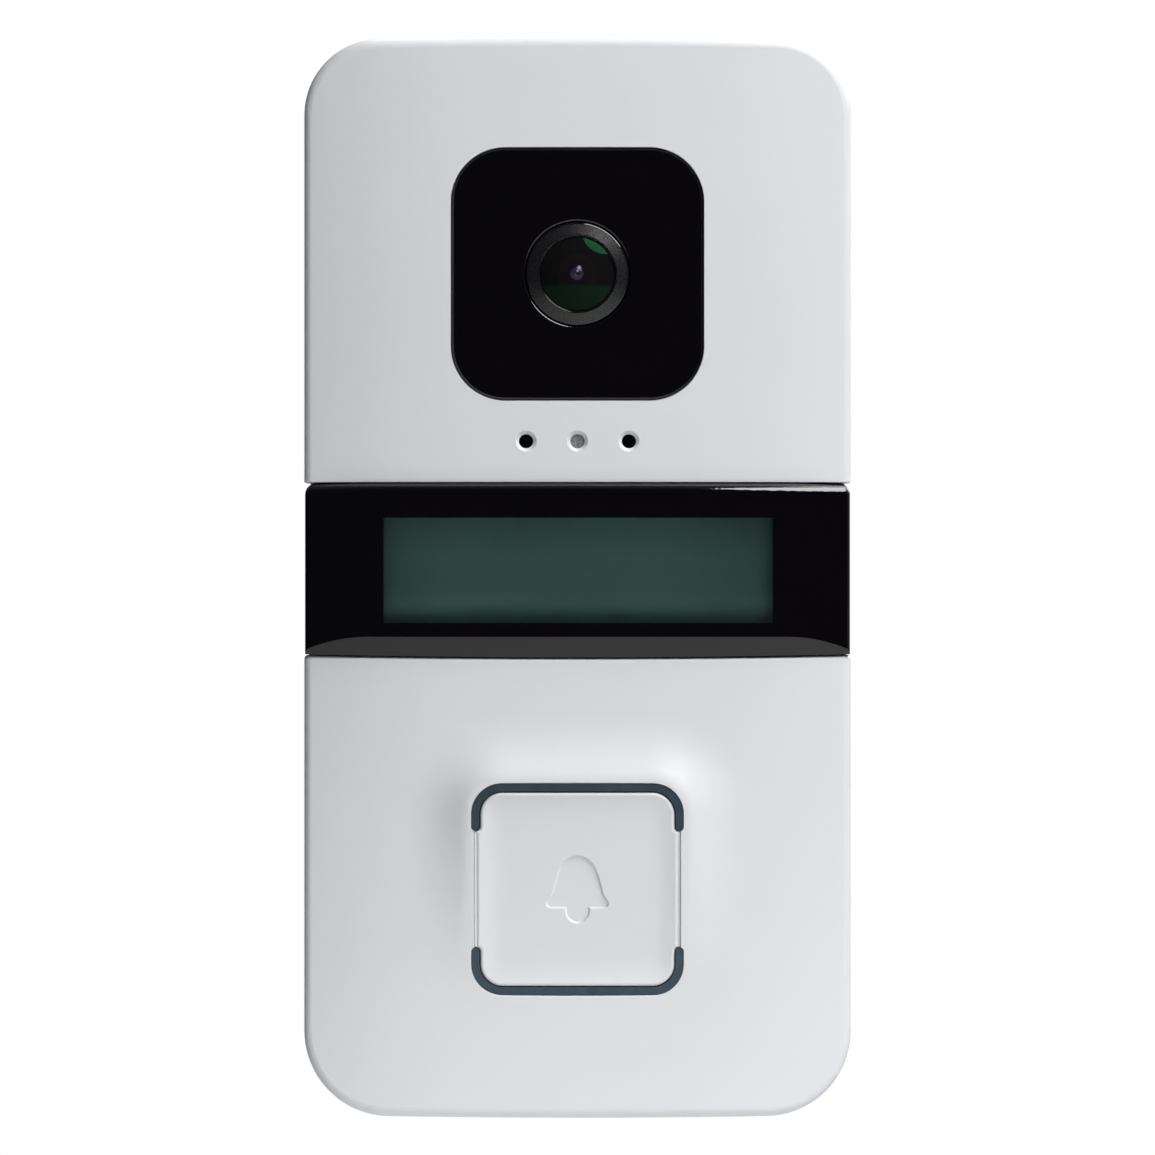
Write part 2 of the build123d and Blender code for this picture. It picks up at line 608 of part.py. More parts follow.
def bell_sketch():
    """Generic bell pictogram: dome, flared rim and clapper, about its own centre."""
    e = [ThreePointArc((0, 4.88), (-1.52, 4.32), (-2.46, 3.12)),
         ThreePointArc((-2.46, 3.12), (-3.14, 1.15), (-3.62, -0.85)),
         Line((-3.62, -0.85), (-4.30, -1.75)),
         ThreePointArc((-4.30, -1.75), (-4.42, -2.30), (-3.95, -2.62)),
         Line((-3.95, -2.62), (-1.62, -2.62)), Line((-1.62, -2.62), (-1.60, -3.15)),
         ThreePointArc((-1.60, -3.15), (0, -4.85), (1.60, -3.15)),
         Line((1.60, -3.15), (1.62, -2.62)), Line((1.62, -2.62), (3.95, -2.62)),
         ThreePointArc((3.95, -2.62), (4.42, -2.30), (4.30, -1.75)),
         Line((4.30, -1.75), (3.62, -0.85)),
         ThreePointArc((3.62, -0.85), (3.14, 1.15), (2.46, 3.12)),
         ThreePointArc((2.46, 3.12), (1.52, 4.32), (0, 4.88))]
    return make_face(e)


cap = solid_of(slab(CAP_PLAN, 26.0, 45) & CAP_SURF)
es = [e for e in cap.edges() if (e @ 0.5).Y < -30.5]
try:
    cap = fillet(es, 0.45)
except Exception as ex:
    print("cap edge rounding left out:", ex)
cap = cap - (slab(rr(26.4, 26.4, 2.2, 0, BTN_Z), 10, 45) & (Pos(0, 2.0, 0) * CAP_SURF))
cap = cap + (cyl(3.4, 27.05, 40, 0, BTN_Z) & (Pos(0, 1.0, 0) * CAP_SURF))
for a in (0, 90):
    w, h = (26.6, 1.2) if a == 0 else (1.2, 26.6)
    cap = cap + (slab(rect(w, h, 0, BTN_Z), 28.2, 40) & (Pos(0, 1.0, 0) * CAP_SURF))
for sx in (-1, 1):
    x0, x1 = sorted((sx * 13.9, sx * EAR_X))
    cap = cap + box(x0, x1, BTN_Z - 3.5, BTN_Z + 3.5, 22.2, 26.1)
    x0, x1 = sorted((sx * 13.9, sx * 15.75))
    cap = cap + box(x0, x1, BTN_Z - 3.5, BTN_Z + 3.5, 22.2, 23.3)
cap = cap + ((slab(LAPS - rect(2 * EAR_X - 1.0, 60, 0, BTN_Z), 28.2, 45)) & (Pos(0, GROOVE, 0) * CAP_SURF))
# bell sunk into the dish, with sloping walls
bell = extrude(button_plane(cap_front(0, BTN_Z) - BELL_DEPTH) * bell_sketch(), amount=0.9, taper=-BELL_TAPER)
cap = cap - bell
put("call_button_cap", solid_of(cap))

for nm, sk in (("light_ring_upper", C_UP), ("light_ring_lower", C_LO)):
    g = solid_of(slab(sk, 22.0, 45) & (Pos(0, 0.12, 0) * MOUND_SURF))
    put(nm, g)

FR_IN = rr(31.9, 31.9, 4.7, 0, BTN_Z)
fr = slab(rr(37.0, 37.0, 5.0, 0, BTN_Z) - FR_IN, 20.6, 45) & crown_block(D_FRONT - WALL - 0.03, -90, 0)
for sx in (-1, 1):
    x0, x1 = sorted((sx * 15.2, sx * 16.5))
    fr = fr + box(x0, x1, BTN_Z - 5.5, BTN_Z + 5.5, 23.36, 25.9)
for x, z in BTN_SCREWS:
    x0, x1 = sorted((math.copysign(17.8, x), math.copysign(23.7, x)))
    fr = fr + box(x0, x1, z - 2.5, z + 2.5, 22.6, 25.0)
for x, z in BTN_SCREWS:
    fr = fr - cyl(1.2, 18, 30, x, z)
BB_SCREWS = [(sx * 15.8, BTN_Z + sz * 15.8) for sx in (-1, 1) for sz in (-1, 1)]
for x, z in BB_SCREWS:
    fr = fr - cyl(0.78, 20, 24.4, x, z)
put("button_frame", solid_of(fr))
BOARD_SCREW_SET += [pan_screw(x, z, 22.6, 1.9, 1.3, 0.95, 28.6) for x, z in BTN_SCREWS]

bb = slab(rr(36.6, 36.6, 4.8, 0, BTN_Z), 19.4, 20.6)
for x, z in BB_SCREWS:
    bb = bb - cyl(0.95, 15, 25, x, z)
bb = bb + box(-7, 7, BTN_Z + 9.5, BTN_Z + 13.0, 17.9, 19.45)
put("button_board", solid_of(bb))
SMALL_SCREWS += [pan_screw(x, z, 19.4, 1.5, 1.1, 0.74, 24.0) for x, z in BB_SCREWS]
put("small_screws", group(SMALL_SCREWS))

sw = box(-3.5, 3.5, BTN_Z - 3.5, BTN_Z + 3.5, 20.6, 24.2) - cyl(1.85, 20.95, 26, 0, BTN_Z)
put("call_switch_body", solid_of(sw))
put("call_switch_plunger", solid_of(cyl(1.77, 22.0, 25.95, 0, BTN_Z)))


def turned(pts, x, z):
    """Closed (r, d) polygon turned about an axis along Y at (x, z)."""
    f = make_face(Polyline(*[(r, -d) for r, d in pts], close=True))
    return solid_of(Pos(x, 0, z) * revolve(f, axis=Axis.Y, revolution_arc=360))


mem = slab(rr(27.2, 27.2, 3.0, 0, BTN_Z) - disc(8.2, 0, BTN_Z), 20.6, 21.4)
mem = mem + turned([(7.9, 20.6), (9.4, 20.6), (9.4, 21.4), (8.6, 21.4), (4.8, 26.6), (4.5, 27.0), (0, 27.0),
                    (0, 26.0), (4.1, 26.0), (7.9, 21.2)], 0, BTN_Z)
put("button_membrane", solid_of(mem))
bl = []
for sz in (-1, 1):
    for x in (-13.2, -6.5, 0.0, 6.5, 13.2):
        z = BTN_Z + sz * (15.2 if abs(x) < 12 else 13.0)
        if abs(x) > 12:
            x = math.copysign(15.05, x)
            z = BTN_Z + sz * 10.6
        bl.append(box(x - 0.6, x + 0.6, z - 0.55, z + 0.55, 20.6, 21.3))
put("button_leds", group(bl))

# ------------------------------------------------------------------ rear housing
R0, R1 = 0.8, D_RIM
rear_out = slab(outline(0.5), R0, R1)
es = [e for e in rear_out.edges() if abs((e @ 0.5).Y + R0) < 0.01]
rear_out = chamfer(es, 0.4)
IN27 = outline(2.7)
rear = rear_out - slab(IN27, PANEL_FRONT, 20) - slab(IN27, -1, PANEL_BACK)
for x, z in COVER_SCREWS:
    rear = rear + cyl(3.3, PANEL_BACK, R1, x, z)
BOARD_SCREWS = [(-27.6, 66.5), (27.6, 66.5), (-27.6, 6.0), (27.6, 6.0), (-27.6, -62.0), (27.6, -62.0)]
for x, z in BOARD_SCREWS:
    rear = rear + cyl(2.8, PANEL_FRONT - 0.5, PCB0, x, z)
CH_X, CH_Z0, CH_Z1 = 17.0, -63.6, -41.4          # wiring chamber
rear = rear + box(-CH_X - 1.6, CH_X + 1.6, CH_Z0 - 1.6, CH_Z1 + 1.6, PANEL_BACK, PCB0 - 0.1)
SEC_D = 7.4                                      # depth of the security screw
rear = rear + box(-9.6, 9.6, -79.4, -69.4, PANEL_BACK, 11.4)
for x, z in COVER_SCREWS:
    rear = rear - cyl(1.45, -1, 20, x, z) - cyl(2.75, -1, 7.0, x, z)
for x, z in BOARD_SCREWS:
    rear = rear - cyl(1.02, 7.2, 20, x, z)
rear = rear - box(-CH_X, CH_X, CH_Z0, CH_Z1, -1, 20)
rear = rear - box(-8.0, 8.0, -78.2, -71.0, -1, 9.8)
rear = rear - extrude(Plane(origin=(0, -SEC_D, -85), z_dir=(0, 0, 1)) * Circle(1.7), amount=12)
rear = rear - extrude(Plane(origin=(0, -SEC_D, -85), z_dir=(0, 0, 1)) * Circle(3.1), amount=85 - 79.4)
for sx in (-1, 1):
    for z in HOOK_Z:
        rear = rear - box(sx * HOOK_X - 4.6, sx * HOOK_X + 4.6, z - BR_T - 5.2, z + 0.06, -1, PANEL_FRONT + 0.1)
TAMP = (22.0, 15.0)
RESET = (-22.0, 15.0)
rear = rear - cyl(1.9, -1, 10, *TAMP) - cyl(2.2, -1, 10, *RESET)
# groove for the sealing ring in the rim
SEAL = outline(1.05) - outline(2.15)
rear = rear - slab(SEAL, 13.8, 16)
put("rear_housing", solid_of(rear))
put("housing_gasket", solid_of(slab(SEAL, 13.8, D_SPLIT)))
put("wall_gasket", solid_of(slab(outline(0.95) - outline(2.45), 0.0, R0)))


def cover_screw(x, z):
    s = cyl(2.6, 5.2, 7.0, x, z) + cyl(1.26, 6.9, 22.5, x, z)
    s = s - box(x - 1.6, x + 1.6, z - 0.3, z + 0.3, 5, 6.1) - box(x - 0.3, x + 0.3, z - 1.6, z + 1.6, 5, 6.1)
    return s


put("housing_screws", group([cover_screw(x, z) for x, z in COVER_SCREWS]))

# ------------------------------------------------------------------ wall bracket
br = slab(rr(BR_W, BR_ZT - BR_ZB, 5.0, 0, (BR_ZT + BR_ZB) / 2), 0, BR_T)
for sx in (-1, 1):
    for sz in (-1, 1):
        br = br - cyl(2.2, -1, 3, sx * SCREW_X, sz * SCREW_Z)
for sz in (-1, 1):
    br = br - slab(Pos(0, sz * BOX_PITCH / 2) * SlotOverall(7.0, 4.2, rotation=90), -1, 3)
br = br - slab(rr(34.0, 24.0, 2.5, 0, -52.5), -1, 3)
br = br - cyl(2.4, -1, 3, *TAMP) - cyl(2.6, -1, 3, *RESET)
for x, z in ((0, 52.0), (-9, 14.0), (9, 14.0), (0, -16.0)):
    br = br - cyl(3.0, -1, 3, x, z)
for sx in (-1, 1):
    for z in HOOK_Z:
        x = sx * HOOK_X
        br = br + box(x - 4.0, x + 4.0, z - BR_T, z, BR_T - 0.5, 7.8)
        br = br + box(x - 4.0, x + 4.0, z - BR_T, z + 3.0, 6.3, 7.8)
br = br + box(-6.0, 6.0, BR_ZB - 1.6, BR_ZB + 0.2, 0, 9.4)
br = br - extrude(Plane(origin=(0, -SEC_D, -85), z_dir=(0, 0, 1)) * Circle(1.30), amount=14)
put("wall_bracket", solid_of(br))

sec = extrude(Plane(origin=(0, -SEC_D, -81 + 0.9), z_dir=(0, 0, 1)) * Circle(2.9), amount=0.7)
sec = sec + extrude(Plane(origin=(0, -SEC_D, -79.5), z_dir=(0, 0, 1)) * Circle(1.26), amount=8.0)
sec = sec - extrude(Plane(origin=(0, -SEC_D, -81), z_dir=(0, 0, 1)) * RegularPolygon(1.25, 6), amount=1.35)
put("security_screw", solid_of(sec))

# ------------------------------------------------------------------ electronics
mb = slab(rr(61.4, 138.0, 2.0, 0, 2.0), PCB0, PCB1)
for x, z in BOARD_SCREWS:
    mb = mb - cyl(1.3, 10, 15, x, z)
put("main_board", solid_of(mb))


def front_screw(x, z, d_seat, head_r, head_h, shank_r, d_tip):
    s = cyl(head_r, d_seat, d_seat + head_h, x, z) + cyl(shank_r, d_tip, d_seat + 0.1, x, z)
    s = s - box(x - head_r * 0.62, x + head_r * 0.62, z - 0.25, z + 0.25, d_seat + head_h * 0.45, d_seat + 9)
    return s - box(x - 0.25, x + 0.25, z - head_r * 0.62, z + head_r * 0.62, d_seat + head_h * 0.45, d_seat + 9)


BOARD_SCREW_SET += [front_screw(x, z, PCB1, 2.2, 1.5, 1.0, 7.6) for x, z in BOARD_SCREWS]
put("board_screws", group(BOARD_SCREW_SET))

tb = box(-15.3, 15.3, -52.0, -42.4, 3.6, PCB0)
tscr = []
for i in range(6):
    x = -12.7 + 5.08 * i
    tb = tb - box(x - 1.7, x + 1.7, -53, -44.8, 6.9, 10.1) - cyl(1.75, 3, 7.2, x, -46.6)
    s = cyl(1.6, 4.3, 6.0, x, -46.6) + cyl(1.1, 5.9, 7.1, x, -46.6)
    tscr.append(s - box(x - 1.5, x + 1.5, -46.85, -46.35, 4, 5.0))
put("terminal_block", solid_of(tb))
put("terminal_screws", group(tscr))

put("processor", group([box(-8, 8, 12, 28, PCB1, PCB1 + 1.0) - cyl(0.5, PCB1 + 0.9, 20, -6.8, 26.8),
                        box(12, 20, 14, 26, PCB1, PCB1 + 1.0), box(-22, -14, 14, 26, PCB1, PCB1 + 1.0)]))
rel = box(-29, -14, -26.5, -16.5, PCB1, PCB1 + 11.5)
rel = fillet([e for e in rel.edges() if abs((e @ 0.1).Y - (e @ 0.9).Y) > 5], 0.8)
put("door_relay", solid_of(rel))
caps = []
for x in (-4.0, 6.5, 17.0):
    c = cyl(4.0, PCB1, PCB1 + 11.5, x, -21.5)
    c = fillet([e for e in c.edges() if abs((e @ 0.5).Y + PCB1 + 11.5) < 0.01], 0.5)
    c = c - (tube(4.4, 3.75, PCB1 + 1.4, PCB1 + 2.1, x, -21.5))
    caps.append(c)
put("capacitors", group(caps))
put("board_connectors", group([box(-8.5, 8.5, 32.2, 35.6, PCB1, PCB1 + 1.4),
                               box(-10, 10, 2.6, 6.6, PCB1, PCB1 + 2.2),
                               box(-8, 8, -36.6, -33.0, PCB1, PCB1 + 2.2),
                               box(12, 18, -63.5, -60.0, PCB1, PCB1 + 4.0)]))

# flat cables between the boards
CABLE_END = CAM_Z - 14.02
cc = make_face(Polyline((-PCB1 - 0.55, 32.2), (-PCB1 - 0.55, 29.9), (-14.3, 28.8), (-15.0, 28.4), (-15.6, 29.0),
                        (-15.6, CABLE_END), (-15.3, CABLE_END), (-15.3, 29.1), (-15.0, 28.8), (-14.45, 29.1),
                        (-PCB1 - 0.85, 30.1), (-PCB1 - 0.85, 32.2), close=True))
cab1 = extrude(Plane(origin=(-7.5, 0, 0), x_dir=(0, 1, 0), z_dir=(1, 0, 0)) * cc, amount=15)
put("flat_cables", group([cab1, box(-8.5, 8.5, 5.05, 5.35, PCB1 + 2.2, 21.2),
                          box(-6.5, 6.5, -35.45, -35.15, PCB1 + 2.2, 17.9)]))

# ------------------------------------------------------------------ speaker
sp = box(-17.5, 17.5, SPK_Z0, SPK_Z1, SPK_D0, SPK_D1)
sp = fillet([e for e in sp.edges() if abs((e @ 0.1).Z - (e @ 0.9).Z) > 5], 2.0)
sp = sp - extrude(Plane(origin=(0, -22.0, SPK_Z0 - 1), z_dir=(0, 0, 1)) * SlotOverall(31.0, 7.6), amount=1.7)
put("speaker", solid_of(sp))
sgp = Plane(origin=(0, -22.0, -78.45), z_dir=(0, 0, 1)) * (RectangleRounded(34.6, 10.4, 1.8) - SlotOverall(31.0, 7.6))
put("speaker_gasket", solid_of(extrude(sgp, amount=0.5)))
clip = box(-21.5, 21.5, -71.55, -70.35, 18.6, 25.4)
for sx in (-1, 1):
    x0, x1 = sorted((sx * 18.0, sx * 19.2))
    clip = clip + box(x0, x1, -77.6, -70.4, 18.6, 25.4)
put("speaker_clip", solid_of(clip))
wires = []
for x in (13.8, 16.0):
    path = FilletPolyline((x, -SPK_D0, -74.0), (x, -14.6, -74.0), (x, -14.6, -63.5), radius=1.4)
    w = sweep(Plane(origin=(x, -SPK_D0, -74.0), z_dir=(0, 1, 0)) * Circle(0.5), path=path)
    wires.append(w)
put("speaker_wires", group(wires))

# ------------------------------------------------------------------ tamper switch
tx, tz = TAMP
tbar = tube(4.0, 3.0, 7.2, PCB0, tx, tz) + tube(4.0, 1.75, 6.6, 7.3, tx, tz) + cyl(4.0, 11.2, PCB0, tx, tz)
put("tamper_barrel", solid_of(tbar))
plg = cyl(1.4, 0.0, 10.9, tx, tz) + cyl(2.7, 9.3, 9.9, tx, tz)
plg = fillet([e for e in plg.edges() if abs((e @ 0.5).Y) < 0.01], 0.5)
put("tamper_plunger", solid_of(plg))
TURNS, WIRE = 2.0, 0.20
spr = []
hel = Helix(pitch=0.46, height=0.92, radius=2.1, center=(0, 0, 0), direction=(0, 0, 1))
hs = sweep(Plane(origin=hel @ 0, z_dir=hel % 0) * Circle(WIRE / 2), path=hel, is_frenet=True)
hs = Pos(tx, -10.02, tz) * (Rot(90, 0, 0) * hs)
put("tamper_spring", solid_of(hs))

# ------------------------------------------------------------------ setup push switch behind a hole
rx, rz = RESET
rs = box(rx - 3, rx + 3, rz - 3, rz + 3, 8.0, PCB0) - cyl(1.8, 7, 10.6, rx, rz)
put("reset_switch_body", solid_of(rs))
put("reset_button", solid_of(cyl(1.72, 6.6, 10.2, rx, rz)))

# ------------------------------------------------------------------ write the pieces
for name, shape in nodes.items():
    export_step(shape, "parts/" + name + ".step")
print(len(nodes), "nodes")
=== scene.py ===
import json
import math
import bpy
import bmesh
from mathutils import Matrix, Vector

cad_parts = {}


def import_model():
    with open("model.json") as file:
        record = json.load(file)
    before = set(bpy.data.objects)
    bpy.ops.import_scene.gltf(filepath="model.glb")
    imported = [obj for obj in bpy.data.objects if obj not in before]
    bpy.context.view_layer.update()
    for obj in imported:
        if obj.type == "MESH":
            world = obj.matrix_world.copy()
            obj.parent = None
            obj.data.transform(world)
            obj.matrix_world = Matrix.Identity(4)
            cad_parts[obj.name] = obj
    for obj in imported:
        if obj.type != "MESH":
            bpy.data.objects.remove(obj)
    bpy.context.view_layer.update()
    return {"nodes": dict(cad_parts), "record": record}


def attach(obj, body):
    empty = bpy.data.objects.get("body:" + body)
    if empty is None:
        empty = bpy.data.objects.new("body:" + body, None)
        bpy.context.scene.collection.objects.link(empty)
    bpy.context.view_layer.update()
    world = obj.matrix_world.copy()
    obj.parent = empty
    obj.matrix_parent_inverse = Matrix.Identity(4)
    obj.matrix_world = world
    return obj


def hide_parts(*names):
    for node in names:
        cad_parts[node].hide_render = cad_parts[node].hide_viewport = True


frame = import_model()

nodes = frame["nodes"]
MM = 0.001


# ------------------------------------------------------------------ material helpers
class Mat:
    """Small wrapper that builds one node material."""

    def __init__(self, name):
        self.m = bpy.data.materials.new(name)
        self.m.use_nodes = True
        self.t = self.m.node_tree
        self.t.nodes.clear()
        self.out = self.t.nodes.new("ShaderNodeOutputMaterial")
        self.coord = None

    def add(self, kind, **props):
        n = self.t.nodes.new(kind)
        for k, v in props.items():
            setattr(n, k, v)
        return n

    def link(self, a, b):
        self.t.links.new(a, b)

    def obj(self):
        if self.coord is None:
            self.coord = self.add("ShaderNodeTexCoord")
        return self.coord.outputs["Object"]

    def principled(self, color, rough, **kw):
        p = self.add("ShaderNodeBsdfPrincipled")
        p.inputs["Base Color"].default_value = (*color, 1)
        p.inputs["Roughness"].default_value = rough
        for k, v in kw.items():
            p.inputs[k.replace("_", " ")].default_value = v
        self.link(p.outputs[0], self.out.inputs["Surface"])
        return p

    def noise(self, scale, detail=3.0, rough=0.55, stretch=None):
        n = self.add("ShaderNodeTexNoise")
        n.inputs["Scale"].default_value = scale
        n.inputs["Detail"].default_value = detail
        n.inputs["Roughness"].default_value = rough
        src = self.obj()
        if stretch:
            mp = self.add("ShaderNodeMapping")
            mp.inputs["Scale"].default_value = stretch
            self.link(src, mp.inputs["Vector"])
            src = mp.outputs[0]
        self.link(src, n.inputs["Vector"])
        return n.outputs["Fac"]

    def ramp(self, fac, stops, interp="LINEAR"):
        r = self.add("ShaderNodeValToRGB")
        r.color_ramp.interpolation = interp
        el = r.color_ramp.elements
        while len(el) < len(stops):
            el.new(0.5)
        for e, (p, c) in zip(el, stops):
            e.position = p
            e.color = (*c, 1) if len(c) == 3 else c
        self.link(fac, r.inputs[0])
        return r.outputs[0]

    def maprange(self, v, a, b, c, d, smooth=False):
        n = self.add("ShaderNodeMapRange")
        if smooth:
            n.interpolation_type = "SMOOTHSTEP"
        for i, x in zip((1, 2, 3, 4), (a, b, c, d)):
            n.inputs[i].default_value = x
        self.link(v, n.inputs[0])
        return n.outputs[0]

    def math(self, op, a, b=None, c=None):
        n = self.add("ShaderNodeMath", operation=op)
        for i, x in enumerate((a, b, c)):
            if x is None:
                continue
            if isinstance(x, (int, float)):
                n.inputs[i].default_value = x
            else:
                self.link(x, n.inputs[i])
        return n.outputs[0]

    def xyz(self):
        s = self.add("ShaderNodeSeparateXYZ")
        self.link(self.obj(), s.inputs[0])
        return s.outputs

    def bump(self, height, strength, dist, normal=None):
        b = self.add("ShaderNodeBump")
        b.inputs["Strength"].default_value = strength
        b.inputs["Distance"].default_value = dist
        self.link(height, b.inputs["Height"])
        if normal is not None:
            self.link(normal, b.inputs["Normal"])
        return b.outputs[0]


def moulded(name, color, rough, grain=2600.0, bump=0.10, spread=0.012, rough_var=0.05, **kw):
    """Injection-moulded plastic: fine spark-eroded grain, slight tone and gloss variation."""
    m = Mat(name)
    p = m.principled(color, rough, **kw)
    big = m.noise(34.0, 2.0)
    fine = m.noise(grain, 2.0, 0.6)
    lo = tuple(max(0.0, c * (1 - spread)) for c in color)
    hi = tuple(min(1.0, c * (1 + spread)) for c in color)
    m.link(m.ramp(big, [(0.35, lo), (0.65, hi)]), p.inputs["Base Color"])
    m.link(m.maprange(fine, 0.3, 0.7, rough - rough_var, rough + rough_var), p.inputs["Roughness"])
    m.link(m.bump(fine, bump, 0.00002), p.inputs["Normal"])
    return m.m


MATS = {}
MATS["white_satin"] = moulded("white_satin", (0.609, 0.621, 0.640), 0.50, 3400.0, 0.16, 0.006, 0.04)
MATS["housing_white"] = moulded("housing_white", (0.56, 0.57, 0.575), 0.5, 2600.0, 0.25, 0.01, 0.05)
MATS["black_plastic"] = moulded("black_plastic", (0.018, 0.018, 0.019), 0.42, 2400.0, 0.2, 0.10)
MATS["switch_grey"] = moulded("switch_grey", (0.30, 0.30, 0.31), 0.38)
MATS["ircut_black"] = moulded("ircut_black", (0.014, 0.014, 0.014), 0.45)
MATS["backlight_white"] = moulded("backlight_white", (0.70, 0.74, 0.68), 0.5)
MATS["chip_black"] = moulded("chip_black", (0.016, 0.016, 0.017), 0.48, 4200.0, 0.3, 0.10)
MATS["relay_blue"] = moulded("relay_blue", (0.02, 0.075, 0.33), 0.33)
MATS["connector_cream"] = moulded("connector_cream", (0.70, 0.66, 0.53), 0.42)
MATS["terminal_green"] = moulded("terminal_green", (0.03, 0.27, 0.10), 0.38)
MATS["silicone"] = moulded("silicone", (0.030, 0.031, 0.033), 0.62, 1500.0, 0.35, 0.10)
MATS["wire_red"] = moulded("wire_red", (0.42, 0.02, 0.016), 0.40)
MATS["cable_white"] = moulded("cable_white", (0.72, 0.74, 0.77), 0.30)


def gloss_black(name, color):
    m = Mat(name)
    p = m.principled(color, 0.045)
    p.inputs["IOR"].default_value = 1.60
    haze = m.noise(90.0, 4.0)
    m.link(m.maprange(haze, 0.35, 0.75, 0.035, 0.070), p.inputs["Roughness"])
    m.link(m.bump(m.noise(45.0, 1.0), 0.012, 0.00003), p.inputs["Normal"])
    return m.m


MATS["gloss_black"] = gloss_black("gloss_black", (0.0008, 0.0003, 0.0011))


def smoked_cover():
    """Clear hard-coated window over the display."""
    m = Mat("smoked_window")
    fr = m.add("ShaderNodeFresnel")
    fr.inputs["IOR"].default_value = 1.49
    tr = m.add("ShaderNodeBsdfTransparent")
    tr.inputs["Color"].default_value = (0.92, 0.95, 0.93, 1)
    gl = m.add("ShaderNodeBsdfGlossy")
    gl.inputs["Color"].default_value = (1, 1, 1, 1)
    gl.inputs["Roughness"].default_value = 0.05
    mx = m.add("ShaderNodeMixShader")
    m.link(fr.outputs[0], mx.inputs[0])
    m.link(tr.outputs[0], mx.inputs[1])
    m.link(gl.outputs[0], mx.inputs[2])
    m.link(mx.outputs[0], m.out.inputs["Surface"])
    return m.m


MATS["smoked_window"] = smoked_cover()


def light_guide(name, painted_light_gain):
    m = Mat(name)
    # painted_light_gain scales the base colour; above 1 it is painted light
    p = m.principled(tuple(c * painted_light_gain for c in (0.026, 0.040, 0.055)), 0.30)
    n = m.noise(600.0, 2.0)
    m.link(m.ramp(n, [(0.3, tuple(c * painted_light_gain for c in (0.0225, 0.0350, 0.0490))),
                      (0.7, tuple(c * painted_light_gain for c in (0.0290, 0.0445, 0.0615)))]), p.inputs["Base Color"])
    m.link(m.bump(m.noise(2600.0), 0.1, 0.00002), p.inputs["Normal"])
    return m.m


MATS["light_guide"] = light_guide("light_guide", 1.0)


CAM_Z = 45.42 * MM           # height of the camera


def anodised(name, color, rough, rings=0.0, cz=CAM_Z):
    """Black anodised metal, bead-blasted, with fine turning marks round the lens axis."""
    m = Mat(name)
    p = m.principled(color, rough)
    p.inputs["IOR"].default_value = 1.62
    fine = m.noise(3800.0, 2.0)
    h = fine
    if rings:
        o = m.xyz()
        x2 = m.math("POWER", o[0], 2.0)
        dz = m.math("SUBTRACT", o[2], cz)
        z2 = m.math("POWER", dz, 2.0)
        r = m.math("SQRT", m.math("ADD", x2, z2))
        w = m.math("SINE", m.math("MULTIPLY", r, rings))
        h = m.math("MULTIPLY_ADD", w, 0.35, fine)
    rv = m.maprange(fine, 0.3, 0.7, rough - 0.04, rough + 0.05)
    if rings:
        rv = m.math("MULTIPLY", rv, m.maprange(r, 0.00738, 0.00750, 1.0, 0.22, True))
        rv = m.math("MULTIPLY", rv, m.maprange(r, 0.00594, 0.00584, 1.0, 0.40, True))
    m.link(rv, p.inputs["Roughness"])
    m.link(m.bump(h, 0.18, 0.00001), p.inputs["Normal"])
    return m.m


MATS["lens_black"] = anodised("lens_black", (0.0040, 0.0042, 0.0052), 0.27, 42000.0)


